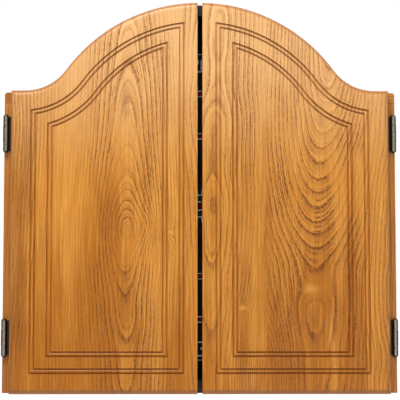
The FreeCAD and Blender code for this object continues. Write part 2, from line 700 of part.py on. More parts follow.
def standoff_pads():
    """Nylon feet on the board's back that keep it parallel to the back panel."""
    solids = []
    towards_wall = Vector(0, 1, 0)
    base = Vector(0, value(board_back), value("dim.foot_circle"))
    length = value("dim.board_standoff - dim.foot_clearance")
    for number in range(3):
        stem = Part.makeCylinder(value("dim.foot_radius"), length, base, towards_wall)
        flange = Part.makeCylinder(value("dim.foot_flange_radius"), value("dim.foot_flange"), base,
                                   towards_wall)
        foot = stem.fuse(flange).removeSplitter()
        foot.rotate(Vector(), towards_wall, 60 + 120 * number)
        solids.append(foot)
    feature("standoff_pads", Part.makeCompound(solids))


def board_bracket():
    """A bent steel bracket: a raised plate with an open-topped slot, on two screwed-down feet."""
    sheet, half, height = (f"dim.{k}" for k in ("bracket_sheet", "bracket_half", "bracket_height"))
    plate = (bracket_front, f"{bracket_front} + {sheet}")
    rise = (f"-{height} / 2", f"{height} / 2")
    solids = [block("bracket_plate", (f"-{half}", half), plate, rise)]
    for side in (-1, 1):
        solids.append(block(f"bracket_wall_{side + 1}", (f"{side} * {half}", f"{side} * ({half} - {sheet})"),
                            (plate[0], "-dim.back_board"), rise))
        solids.append(block(f"bracket_foot_{side + 1}",
                            (f"{side} * ({half} - {sheet})", f"{side} * ({half} + dim.bracket_foot)"),
                            (f"-dim.back_board - {sheet}", "-dim.back_board"), rise))
    slot = "(dim.board_screw_radius + dim.bracket_clearance)"
    tools = [block("bracket_slot", (f"-{slot}", slot), plate, ("0", height)),
             rod("bracket_slot_end", ("0", plate[0], "0"), "y", slot, sheet)]
    for number, foot in enumerate(bracket_screw_places()):
        tools.append(rod(f"bracket_hole_{number}", (str(foot.x), f"-dim.back_board - {sheet}", str(foot.z)),
                         "y", "dim.bracket_hole", sheet))
    keep(cut("board_bracket", fuse("bracket_solid", solids), fuse("bracket_tools", tools)), "board_bracket")
    screws("bracket_screws", bracket_screw_places(), Vector(0, -1, 0), "dim.bracket_screw_radius",
           "dim.bracket_screw_head", "dim.bracket_screw_length")


def bracket_screw_places():
    across = value("dim.bracket_half + dim.bracket_foot / 2")
    foot_face, rise = value("-dim.back_board - dim.bracket_sheet"), value("dim.bracket_screw_rise")
    return [Vector(side * across, foot_face, end * rise) for side in (-1, 1) for end in (-1, 1)]


def board_screw():
    """The screw in the middle of the board's back, whose head hangs behind the bracket's plate."""
    shank, head = value("dim.board_screw_radius"), value("dim.board_screw_head")
    rise, play = value("dim.board_screw_head_rise"), value("dim.head_play")
    plate_back = value(f"{bracket_front} + dim.bracket_sheet")
    end = value(f"{sisal_back} - dim.board_screw_bite")
    towards = Vector(0, -1, 0)
    under_head = plate_back + play
    body = Part.makeCylinder(shank, under_head + play - end, Vector(0, under_head + play, 0), towards)
    top = Part.makeCylinder(head, rise, Vector(0, under_head + rise, 0), towards)
    feature("board_centre_screw", body.fuse(top).removeSplitter())


# ---- what the doors carry inside ----

def scoreboard(word, side):
    """A thin writing panel with a frame round it and four screws through its corners."""
    near, far = f"{side} * dim.score_near", f"{side} * dim.score_far"
    front = f"({door_back}) + dim.score_board"
    keep(block(f"{word}_scoreboard", (near, far), (door_back, front), ("dim.score_low", "dim.score_top")),
         f"{word}_scoreboard")
    outer = block(f"{word}_frame_outer", (f"{side} * (dim.score_near - dim.score_frame)",
                                          f"{side} * (dim.score_far + dim.score_frame)"),
                  (door_back, f"({door_back}) + dim.score_frame_board"),
                  ("dim.score_low - dim.score_frame", "dim.score_top + dim.score_frame"))
    inner = block(f"{word}_frame_inner", (near, far), (door_back, f"({door_back}) + dim.score_frame_board"),
                  ("dim.score_low", "dim.score_top"))
    keep(cut(f"{word}_score_frame", outer, inner), f"{word}_score_frame")
    margin = value("dim.score_screw_margin")
    feet = [Vector(side * x, value(front), z)
            for x in (value("dim.score_near") + margin, value("dim.score_far") - margin)
            for z in (value("dim.score_low") + margin, value("dim.score_top") - margin)]
    screws(f"{word}_score_screws", feet, Vector(0, 1, 0), "dim.score_screw_radius", "dim.score_screw_head",
           "dim.score_screw_length")


def dart_rack(word, side):
    """A wooden block with three upright holes for darts, held by two screws."""
    back = f"({door_back}) + dim.rack_depth"
    top = "dim.rack_low + dim.rack_height"
    body = block(f"{word}_rack_block", (f"{side} * dim.rack_near", f"{side} * dim.rack_far"),
                 (door_back, back), ("dim.rack_low", top))
    middle = "(dim.rack_near + dim.rack_far) / 2"
    holes = [rod(f"{word}_rack_hole_{step + 1}", (f"{side} * ({middle} + {step} * dim.rack_hole_pitch)",
                                                  f"({door_back}) + dim.rack_depth / 2 + 1", "dim.rack_low"),
                 "z", "dim.rack_hole_radius", "dim.rack_height") for step in (-1, 0, 1)]
    keep(cut(f"{word}_dart_rack", body, fuse(f"{word}_rack_holes", holes)), f"{word}_dart_rack")
    ends = [value("dim.rack_near + dim.rack_screw_margin"), value("dim.rack_far - dim.rack_screw_margin")]
    level = value("dim.rack_low + dim.rack_height / 2")
    feet = [Vector(side * x, value(back), level) for x in ends]
    screws(f"{word}_rack_screws", feet, Vector(0, 1, 0), "dim.rack_screw_radius", "dim.rack_screw_head",
           "dim.rack_screw_length")


def catch(word, side):
    """A magnetic catch on the bottom board and its strike plate on the door."""
    near, far = f"{side} * dim.catch_near", f"{side} * dim.catch_far"
    front = f"{box_front} + dim.catch_gap"
    shell = block(f"{word}_catch_shell", (near, far), (front, f"({front}) + dim.catch_depth"),
                  (floor_top, f"{floor_top} + dim.catch_height"))
    middle = "(dim.catch_near + dim.catch_far) / 2"
    magnet = ((f"{side} * ({middle} - dim.magnet_half)", f"{side} * ({middle} + dim.magnet_half)"),
              (front, f"({front}) + dim.magnet_depth"),
              (f"{floor_top} + dim.magnet_low", f"{floor_top} + dim.magnet_top"))
    hollow = block(f"{word}_catch_hollow", *magnet)
    keep(cut(f"{word}_catch_housing", shell, hollow), f"{word}_catch_housing")
    keep(block(f"{word}_catch_magnet", magnet[0], (f"({front}) - dim.magnet_proud", magnet[1][1]), magnet[2]),
         f"{word}_catch_magnet")
    plate_front = f"({door_back}) + dim.strike_sheet"
    plate = block(f"{word}_strike_blank",
                  (f"{side} * ({middle} - dim.strike_half)", f"{side} * ({middle} + dim.strike_half)"),
                  (door_back, plate_front),
                  (f"{floor_top} + dim.strike_low", f"{floor_top} + dim.strike_top"))
    level = f"{floor_top} + (dim.strike_low + dim.strike_top) / 2"
    sink = cone(f"{word}_strike_sink", (f"{side} * ({middle})", plate_front, level), "-y",
                "dim.strike_screw_head + dim.sink_clearance", "dim.strike_screw_radius + dim.sink_clearance",
                "dim.strike_screw_head - dim.strike_screw_radius")
    keep(cut(f"{word}_strike_plate", plate, sink), f"{word}_strike_plate")
    foot = Vector(side * value(middle), value(plate_front), value(level))
    screws(f"{word}_strike_screw", [foot], Vector(0, 1, 0), "dim.strike_screw_radius",
           "dim.strike_screw_head", "dim.strike_screw_length", countersunk=True)


def catch_screws():
    """The four screws that hold the catch housings down on the bottom board."""
    middle = value("(dim.catch_near + dim.catch_far) / 2")
    reach = value("dim.catch_far - dim.catch_screw_margin") - middle
    top = value(f"{floor_top} + dim.catch_height")
    depth = value(f"{box_front} + dim.catch_gap + dim.catch_depth / 2")
    feet = [Vector(side * (middle + end * reach), depth, top) for side in (-1, 1) for end in (-1, 1)]
    screws("catch_screws", feet, Vector(0, 0, 1), "dim.catch_screw_radius", "dim.catch_screw_head",
           "dim.catch_screw_length")


def edges_by_height(shape, y):
    return [edge for edge in shape.Edges if abs(edge.BoundBox.YMin - y) < tiny and len(edge.Vertexes) == 1]


def bumpers(word, side):
    """Two rubber dots on the door's back that land on the box's front edge."""
    rise, radius = value("dim.bumper_rise"), value("dim.bumper_radius")
    across = side * value("dim.bumper_out")
    spots = [(across, value("dim.box_bottom + dim.bottom_board / 2")),
             (across, value(f"{box_shoulder} - dim.top_board / 2"))]
    dots = []
    for x, z in spots:
        dot = Part.makeCylinder(radius, rise, Vector(x, value(door_back), z), Vector(0, 1, 0))
        rim = edges_by_height(dot, value(door_back) + rise)
        dots.append(dot.makeFillet(value("dim.bumper_rounding"), rim))
    feature(f"{word}_door_bumpers", Part.makeCompound(dots))


for word, side in sides.items():
    side_board(word, side)
bottom_board()
arched_top()
back_panel()
hinges()
catch_screws()
board_bracket()
disc("backing_disc", board_back, sisal_back, "dim.board_radius - dim.band_sheet")
disc("sisal_disc", sisal_back, board_face, "dim.board_radius - dim.band_sheet")
disc("steel_band", board_back, f"({board_face}) - dim.band_lip", "dim.board_radius",
     "dim.board_radius - dim.band_sheet")
board_screw()
standoff_pads()
wire_grid()
number_ring()
ring_clips()
for word, side in sides.items():
    door(word, side)
    scoreboard(word, side)
    dart_rack(word, side)
    catch(word, side)
    bumpers(word, side)

doc.recompute()

failed = [item.Label for item in doc.Objects if {"Invalid", "Error"} & set(item.State)]
for node in nodes:
    if node.Shape.isNull() or not node.Shape.isValid() or not node.Shape.Solids:
        failed.append(node.Label)
if failed:
    raise RuntimeError("these objects failed: " + ", ".join(failed))

os.makedirs("parts", exist_ok=True)
for node in nodes:
    print(node.Label, len(node.Shape.Solids), "solids", round(node.Shape.Volume / 1000, 2), "cm3")
    node.Shape.exportStep(os.path.join("parts", f"{node.Label}.step"))
print(len(nodes), "sub-parts")
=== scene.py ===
import math

import bpy
from mathutils import Matrix, Vector


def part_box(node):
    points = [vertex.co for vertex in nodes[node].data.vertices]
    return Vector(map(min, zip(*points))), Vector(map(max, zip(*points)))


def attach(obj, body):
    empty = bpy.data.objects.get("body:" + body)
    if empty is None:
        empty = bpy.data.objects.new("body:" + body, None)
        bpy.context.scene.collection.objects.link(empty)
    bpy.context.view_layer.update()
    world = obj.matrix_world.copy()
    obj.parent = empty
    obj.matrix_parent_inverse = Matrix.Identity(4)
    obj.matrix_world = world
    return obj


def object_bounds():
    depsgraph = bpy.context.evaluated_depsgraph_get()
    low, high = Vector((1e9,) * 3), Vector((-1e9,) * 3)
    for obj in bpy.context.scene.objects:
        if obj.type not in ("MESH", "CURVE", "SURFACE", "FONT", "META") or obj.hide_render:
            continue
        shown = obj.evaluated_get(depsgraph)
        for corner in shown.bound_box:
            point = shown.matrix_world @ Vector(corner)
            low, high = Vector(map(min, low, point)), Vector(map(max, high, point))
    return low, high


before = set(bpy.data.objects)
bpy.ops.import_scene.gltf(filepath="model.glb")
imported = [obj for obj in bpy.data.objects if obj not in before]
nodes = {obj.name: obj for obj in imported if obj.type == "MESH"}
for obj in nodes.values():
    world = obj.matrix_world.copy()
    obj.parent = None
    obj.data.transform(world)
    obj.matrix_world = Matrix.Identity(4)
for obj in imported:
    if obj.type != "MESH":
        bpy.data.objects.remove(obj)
cadLow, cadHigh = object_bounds()
print("frame loaded:", len(nodes), "nodes")

# Metres. +X right, +Y into the wall, +Z up; the bull's-eye is straight in front of the origin.


def srgb(red, green, blue):
    def linear(part):
        part /= 255
        return part / 12.92 if part <= 0.04045 else ((part + 0.055) / 1.055) ** 2.4
    return (linear(red), linear(green), linear(blue), 1)


def asMesh(thing, name):
    # the evaluated shape as a plain mesh object at the origin
    bpy.context.view_layer.update()
    graph = bpy.context.evaluated_depsgraph_get()
    mesh = bpy.data.meshes.new_from_object(thing.evaluated_get(graph))
    mesh.transform(thing.matrix_world)
    bpy.data.objects.remove(thing)
    piece = bpy.data.objects.new(name, mesh)
    mesh.name = name
    bpy.context.scene.collection.objects.link(piece)
    return piece


def joined(name, pieces):
    # several mesh objects as one
    first = pieces[0]
    with bpy.context.temp_override(active_object=first, object=first, selected_editable_objects=pieces,
                                   selected_objects=pieces):
        bpy.ops.object.join()
    first.name = name
    first.data.name = name
    return first


# small words for building node trees

def put(tree, kind, *values, **settings):
    # a node, its settings, then its inputs in order; an input that the settings switch off isn't counted
    item = tree.nodes.new(kind)
    for setting, chosen in settings.items():
        setattr(item, setting, chosen)
    usable = [socket for socket in item.inputs if socket.enabled]
    for socket, chosen in zip(usable, values):
        if isinstance(chosen, bpy.types.NodeSocket):
            tree.links.new(chosen, socket)
        else:
            socket.default_value = chosen
    return item


def calc(tree, operation, *values):
    return put(tree, "ShaderNodeMath", *values, operation=operation).outputs[0]


def ramp(tree, number, low, high, toLow=0.0, toHigh=1.0):
    return put(tree, "ShaderNodeMapRange", number, low, high, toLow, toHigh,
               interpolation_type="SMOOTHSTEP").outputs["Result"]


def tint(tree, share, first, second):
    mix = put(tree, "ShaderNodeMix", share, first, second, data_type="RGBA")
    return next(socket for socket in mix.outputs if socket.enabled)


def stretched(tree, vector, scale, offset=(0, 0, 0)):
    return put(tree, "ShaderNodeVectorMath", vector, scale, offset, operation="MULTIPLY_ADD").outputs[0]


def noise(tree, vector, scale=1.0, detail=2.0, roughness=0.5):
    return put(tree, "ShaderNodeTexNoise", vector, scale, detail, roughness).outputs["Fac"]


def parts(tree, vector):
    return put(tree, "ShaderNodeSeparateXYZ", vector).outputs


def facingOf(tree):
    # which way the surface looks, as three numbers
    return parts(tree, tree.nodes.new("ShaderNodeTexCoord").outputs["Normal"])


def newGroup(name, inputs, outputs):
    tree = bpy.data.node_groups.new(name, "ShaderNodeTree")
    for label, value in inputs.items():
        kind = "NodeSocketVector" if value is None else "NodeSocketFloat"
        socket = tree.interface.new_socket(label, in_out="INPUT", socket_type=kind)
        if value is not None:
            socket.default_value = value
    for label in outputs:
        tree.interface.new_socket(label, in_out="OUTPUT", socket_type="NodeSocketFloat")
    return tree, tree.nodes.new("NodeGroupInput").outputs, tree.nodes.new("NodeGroupOutput").inputs


def useGroup(tree, group, **values):
    item = tree.nodes.new("ShaderNodeGroup")
    item.node_tree = group
    for label, chosen in values.items():
        if isinstance(chosen, bpy.types.NodeSocket):
            tree.links.new(chosen, item.inputs[label])
        else:
            item.inputs[label].default_value = chosen
    return item.outputs


# camera, lamps, background

cameraSettings = {"place": (-0.0213, -2.1116, -0.1467), "pitch": 4.325, "turn": 0.606, "lens": 126.4}
lampSettings = {
    "keyLamp": {"place": (-0.5, -1.5, 2.15), "size": 0.9, "power": 52},
    "fillLamp": {"place": (1.6, -2.8, 0.2), "size": 2.0, "power": 10},
    "backLamp": {"place": (0.4, 2.4, 1.6), "size": 1.8, "power": 40},
}
stageSettings = {"worldLight": 0.36, "floorBelow": 0.34, "floorHalf": 30, "floorWhite": 0.92,
                 "floorLift": 0.66}


def makeCamera():
    data = bpy.data.cameras.new("camera")
    camera = bpy.data.objects.new("camera", data)
    data.sensor_width = 36
    data.lens = cameraSettings["lens"]
    camera.location = cameraSettings["place"]
    camera.rotation_euler = (math.radians(90 + cameraSettings["pitch"]), 0,
                             -math.radians(cameraSettings["turn"]))
    bpy.context.scene.collection.objects.link(camera)
    bpy.context.scene.camera = camera


def makeLamps():
    for name, lamp in lampSettings.items():
        data = bpy.data.lights.new(name, "AREA")
        data.shape = "SQUARE"
        data.size = lamp["size"]
        data.energy = lamp["power"]
        light = bpy.data.objects.new(name, data)
        light.location = lamp["place"]
        light.rotation_euler = (-Vector(lamp["place"])).to_track_quat("-Z", "Y").to_euler()
        bpy.context.scene.collection.objects.link(light)


def seenDirectly(tree):
    # 1 for what the camera sees, also in metal and through glass
    path = tree.nodes.new("ShaderNodeLightPath").outputs
    indirect = calc(tree, "MAXIMUM", path["Is Glossy Ray"], path["Is Transmission Ray"])
    return calc(tree, "MAXIMUM", path["Is Camera Ray"], indirect)


def makeWorld():
    world = bpy.data.worlds.new("studio")
    world.use_nodes = True
    bpy.context.scene.world = world
    tree = world.node_tree
    background = tree.nodes["Background"]
    background.inputs["Color"].default_value = (1, 1, 1, 1)
    strength = put(tree, "ShaderNodeMapRange", seenDirectly(tree), 0, 1, stageSettings["worldLight"], 1)
    tree.links.new(strength.outputs["Result"], background.inputs["Strength"])


def makeFloor():
    half = stageSettings["floorHalf"]
    level = cadLow.z - stageSettings["floorBelow"]
    mesh = bpy.data.meshes.new("floor")
    corners = [(-half, -half, level), (half, -half, level), (half, half, level), (-half, half, level)]
    mesh.from_pydata(corners, [], [(0, 1, 2, 3)])
    floor = bpy.data.objects.new("floor", mesh)
    bpy.context.scene.collection.objects.link(floor)
    material = bpy.data.materials.new("floorPaper")
    material.use_nodes = True
    tree = material.node_tree
    shader = tree.nodes["Principled BSDF"]
    white = stageSettings["floorWhite"]
    shader.inputs["Base Color"].default_value = (white, white, white, 1)
    shader.inputs["Roughness"].default_value = 0.9
    shader.inputs["Emission Color"].default_value = (1, 1, 1, 1)
    lift = calc(tree, "MULTIPLY", seenDirectly(tree), stageSettings["floorLift"])
    tree.links.new(lift, shader.inputs["Emission Strength"])
    mesh.materials.append(material)


bpy.context.scene.view_settings.view_transform = "Standard"
makeCamera()
makeLamps()
makeWorld()
makeFloor()
print("camera and lamps placed")


# effects shared by the materials

def makePatch():
    # a soft oval spot on the XZ face of a board
    tree, given, made = newGroup("patch", {"Place": None, "X": 0, "Z": 0, "Wide": 0.01, "Tall": 0.01},
                                 ["Mask"])
    x, _, z = parts(tree, given["Place"])
    across = calc(tree, "DIVIDE", calc(tree, "SUBTRACT", x, given["X"]), given["Wide"])
    along = calc(tree, "DIVIDE", calc(tree, "SUBTRACT", z, given["Z"]), given["Tall"])
    square = calc(tree, "ADD", calc(tree, "MULTIPLY", across, across), calc(tree, "MULTIPLY", along, along))
    tree.links.new(calc(tree, "POWER", math.exp(-1), square), made["Mask"])
    return tree


figureSettings = {
    "slowDrift": (7, 7, 3.2), "quickDrift": (34, 34, 13), "quickShare": 0.28, "depthDrift": (2, 2, 9),
    "roundTop": 0.0007, "firstYear": 1.7, "boldness": 0.77351, "jagged": 0.26, "jags": (420, 420, 60),
    "pores": (900, 900, 260), "fading": (26, 26, 9), "patches": (60, 60, 12), "finerLines": 2.63,
    "fibres": (620, 620, 16), "tones": (16, 16, 2.2),
}


def makeFigure():
    # growth rings cut by the face of a board: how far each point lies from a leaning pith
    tree, given, made = newGroup("ringFigure", {
        "Place": None, "Centre": 0, "Level": 0, "Lean": 0, "Depth": 0.01, "Fall": 0.05, "Taper": 0.6,
        "Reach": 1, "Ring": 0.005, "Wander": 0.01, "Swell": 0, "Plain": 0, "Seed": 0},
        ["Line", "Pores", "Fibre", "Tone"])
    x, _, z = parts(tree, given["Place"])
    shift = put(tree, "ShaderNodeCombineXYZ", given["Seed"], 0, given["Seed"]).outputs[0]
    place = put(tree, "ShaderNodeVectorMath", given["Place"], shift, operation="ADD").outputs[0]

    def layer(key, detail, roughness=0.5):
        return noise(tree, stretched(tree, place, figureSettings[key]), 1, detail, roughness)

    def wave(key, detail=1.0):
        return calc(tree, "SUBTRACT", layer(key, detail), 0.5)

    # distance from the pith
    quick = calc(tree, "MULTIPLY", wave("quickDrift"), figureSettings["quickShare"])
    drift = calc(tree, "MULTIPLY", calc(tree, "ADD", wave("slowDrift"), quick), given["Wander"])
    height = calc(tree, "SUBTRACT", z, given["Level"])
    lean = calc(tree, "MULTIPLY", height, given["Lean"])
    across = calc(tree, "SUBTRACT", calc(tree, "SUBTRACT", x, given["Centre"]), lean)
    across = calc(tree, "ADD", across, drift)
    away = calc(tree, "SQRT", calc(tree, "MULTIPLY_ADD", height, height, figureSettings["roundTop"]))
    away = calc(tree, "SMOOTH_MIN", away, given["Reach"], 0.03)
    away = calc(tree, "POWER", calc(tree, "MAXIMUM", away, 0), given["Taper"])
    deep = calc(tree, "MULTIPLY_ADD", away, given["Fall"], given["Depth"])
    deep = calc(tree, "ADD", deep, calc(tree, "MULTIPLY", wave("depthDrift"), given["Wander"]))
    square = calc(tree, "ADD", calc(tree, "MULTIPLY", across, across), calc(tree, "MULTIPLY", deep, deep))
    radius = calc(tree, "ADD", calc(tree, "SQRT", square), given["Swell"])

    # years counted outwards, all of one width
    count = calc(tree, "ADD", calc(tree, "DIVIDE", radius, given["Ring"]), figureSettings["firstYear"])
    count = calc(tree, "ADD", count, calc(tree, "MULTIPLY", wave("jags", 2), figureSettings["jagged"]))
    phase = calc(tree, "FRACT", count)

    # a dark band of early wood in each year, with finer lines between
    early = calc(tree, "MULTIPLY", ramp(tree, phase, 0.0, 0.05), ramp(tree, phase, 0.12, 0.3, 1, 0.35))
    early = calc(tree, "MULTIPLY", early, ramp(tree, phase, 0.36, 0.8, 1, 0))
    dashes = ramp(tree, layer("pores", 1), 0.42, 0.56)
    fade = ramp(tree, layer("fading", 2), 0.3, 0.62, 0.3, 1.15)
    fade = calc(tree, "MULTIPLY", fade, calc(tree, "SUBTRACT", 1, given["Plain"]))
    strength = calc(tree, "MULTIPLY", fade, figureSettings["boldness"])
    line = calc(tree, "MULTIPLY", early, calc(tree, "MINIMUM", strength, 1))
    inner = calc(tree, "FRACT", calc(tree, "MULTIPLY", count, figureSettings["finerLines"]))
    inner = calc(tree, "MULTIPLY", ramp(tree, inner, 0.0, 0.15), ramp(tree, inner, 0.2, 0.6, 1, 0))
    patchy = calc(tree, "MULTIPLY", ramp(tree, layer("patches", 2), 0.36, 0.58, 0.1, 0.55), fade)
    line = calc(tree, "MAXIMUM", line, calc(tree, "MULTIPLY", inner, patchy))
    stray = calc(tree, "MULTIPLY", dashes, ramp(tree, fade, 0, 1.4, 0.05, 0.4))

    tree.links.new(calc(tree, "MULTIPLY", line, ramp(tree, dashes, 0, 1, 0.55, 1)), made["Line"])
    tree.links.new(calc(tree, "MULTIPLY", calc(tree, "MAXIMUM", line, stray), dashes), made["Pores"])
    tree.links.new(layer("fibres", 3, 0.6), made["Fibre"])
    tree.links.new(layer("tones", 3, 0.55), made["Tone"])
    return tree


def makeMottle():
    # cloudy and speckled unevenness for paint, metal and plastic, with fine scratches
    tree, given, made = newGroup("mottle", {"Place": None, "Cloud": 40, "Speck": 900},
                                 ["Cloud", "Speck", "Scratch"])
    for label in ("Cloud", "Speck"):
        tree.links.new(noise(tree, given["Place"], given[label], 3), made[label])
    fine = noise(tree, stretched(tree, given["Place"], (60, 60, 1400)), 1, 2)
    steep = noise(tree, stretched(tree, given["Place"], (1400, 200, 50)), 1, 2)
    tree.links.new(calc(tree, "MAXIMUM", ramp(tree, fine, 0.66, 0.7), ramp(tree, steep, 0.68, 0.72)),
                   made["Scratch"])
    return tree


patch = makePatch()
ringFigure = makeFigure()
mottle = makeMottle()


def newMaterial(name, roughness=0.5, metallic=0.0, **sockets):
    material = bpy.data.materials.new(name)
    material.use_nodes = True
    tree = material.node_tree
    shader = tree.nodes["Principled BSDF"]
    shader.inputs["Roughness"].default_value = roughness
    shader.inputs["Metallic"].default_value = metallic
    for label, chosen in sockets.items():
        shader.inputs[label.replace("_", " ")].default_value = chosen
    place = tree.nodes.new("ShaderNodeTexCoord").outputs["Object"]
    return material, tree, shader.inputs, place


def emboss(tree, inputs, height, distance, strength=1.0):
    bump = tree.nodes.new("ShaderNodeBump")
    bump.inputs["Strength"].default_value = strength
    bump.inputs["Distance"].default_value = distance
    tree.links.new(height, bump.inputs["Height"])
    tree.links.new(bump.outputs["Normal"], inputs["Normal"])


def dress(material, *names):
    for name in names:
        data = nodes[name].data
        data.materials.clear()
        data.materials.append(material)


# the stained doors

oakColours = {
    "pale": srgb(238, 170, 80), "honey": srgb(224, 150, 58), "deep": srgb(182, 106, 8),
    "paintedSheen": srgb(254, 206, 146), "line": srgb(106, 48, 2), "lightLine": srgb(146, 74, 10),
    "foot": srgb(138, 88, 50), "edge": srgb(166, 88, 16), "quirk": srgb(92, 48, 8),
    "smudge": srgb(140, 80, 24),
}
# one value per stave from left to right, between the glue joints
# plains and smudges: x, z, half width, half height, strength; a plain below zero makes bolder lines
# knots: x, z, half width, half height, how far they push the rings out, how pale
doorSettings = {
    "left": {
        "joints": [-0.236, -0.024],
        "centre": [-0.37, -0.105, 0.06], "level": [0, -0.045, -0.02], "lean": [0.05, 0.0, -0.05],
        "depth": [0.01, 0.0, 0.03], "fall": [0.08, 0.072, 0.04], "taper": [0.8, 0.45, 1],
        "reach": [0.6, 0.6, 0.6], "ring": [0.0056, 0.0047, 0.0064], "wander": [0.028, 0.011, 0.034],
        "tone": [-0.1, -0.03, -0.02], "streak": [1.2, 0.25, 0.4], "seed": [3.1, 7.4, 12.0],
        "plains": [
            (-0.19, 0.0, 0.03, 0.3, 0.85), (-0.105, -0.064, 0.02, 0.026, 1.0),
            (-0.106, 0.01, 0.03, 0.036, -1.8), (-0.03, 0, 0.016, 0.4, 0.35),
            (-0.138, 0.0, 0.012, 0.25, -1), (-0.075, 0.03, 0.013, 0.25, -1),
            (-0.062, -0.12, 0.016, 0.09, 0.5), (-0.11, 0.09, 0.013, 0.07, 0.6)],
        "knots": [
            (-0.043, -0.041, 0.006, 0.009, 0.010, 0.5), (-0.074, -0.028, 0.010, 0.020, -0.008, 0),
            (-0.1, -0.034, 0.024, 0.03, -0.011, 0)],
        "smudges": [
            (-0.107, 0.147, 0.005, 0.024, 0.8), (-0.108, -0.115, 0.004, 0.024, 0.6),
            (-0.262, -0.1, 0.012, 0.2, 0.55), (-0.248, 0.06, 0.01, 0.07, 0.5)],
    },
    "right": {
        "joints": [0.0955, 0.236],
        "centre": [0.02, 0.187, 0.33], "level": [0, 0.235, 0.02], "lean": [0.02, 0.07, 0.06],
        "depth": [0.02, 0.0, 0.02], "fall": [0.05, 0.25, 0.06], "taper": [1, 1, 0.9],
        "reach": [0.6, 0.32, 0.6], "ring": [0.0054, 0.0052, 0.0056], "wander": [0.022, 0.014, 0.034],
        "tone": [0.04, 0, 0.04], "streak": [0.5, 0.45, 0.5], "seed": [11.7, 16.0, 20.6],
        "plains": [
            (0.163, -0.13, 0.018, 0.035, 0.8), (0.17, 0.0, 0.03, 0.08, -0.9), (0.25, 0, 0.014, 0.4, 0.35),
            (0.03, 0, 0.016, 0.4, 0.3), (0.192, -0.14, 0.01, 0.09, -1), (0.215, 0.03, 0.012, 0.18, -0.6),
            (0.062, 0.0, 0.012, 0.25, -0.5), (0.122, 0.02, 0.02, 0.16, -1.1),
            (0.12, -0.2, 0.026, 0.06, -1.6), (0.0905, 0, 0.008, 0.2, 0.7), (0.178, 0.12, 0.017, 0.05, 0.8)],
        "knots": [
            (0.159, -0.122, 0.022, 0.018, 0.004, 0.45), (0.061, -0.149, 0.01, 0.01, 0.014, 0.6),
            (0.0965, -0.265, 0.036, 0.13, 0.045, 0)],
        "smudges": [
            (0.173, 0.12, 0.006, 0.012, 0.4), (0.161, -0.182, 0.003, 0.014, 0.6),
            (0.165, -0.2, 0.006, 0.01, 0.3), (0.182, 0.178, 0.004, 0.012, 0.35),
            (0.0905, 0.0, 0.006, 0.11, 0.35), (0.065, 0.02, 0.011, 0.25, 0.25)],
    },
}


def byStave(tree, x, joints, values):
    # one value for each glued-up stave, stepping at the joints
    chosen = values[0]
    for joint, before, after in zip(joints, values, values[1:]):
        past = calc(tree, "GREATER_THAN", x, joint)
        chosen = calc(tree, "MULTIPLY_ADD", past, after - before, chosen)
    return chosen


def patches(tree, place, spots):
    # soft spots summed
    total = 0
    for spotX, spotZ, wide, tall, strength in spots:
        mask = useGroup(tree, patch, Place=place, X=spotX, Z=spotZ, Wide=wide, Tall=tall)["Mask"]
        total = calc(tree, "MULTIPLY_ADD", mask, strength, total)
    return total


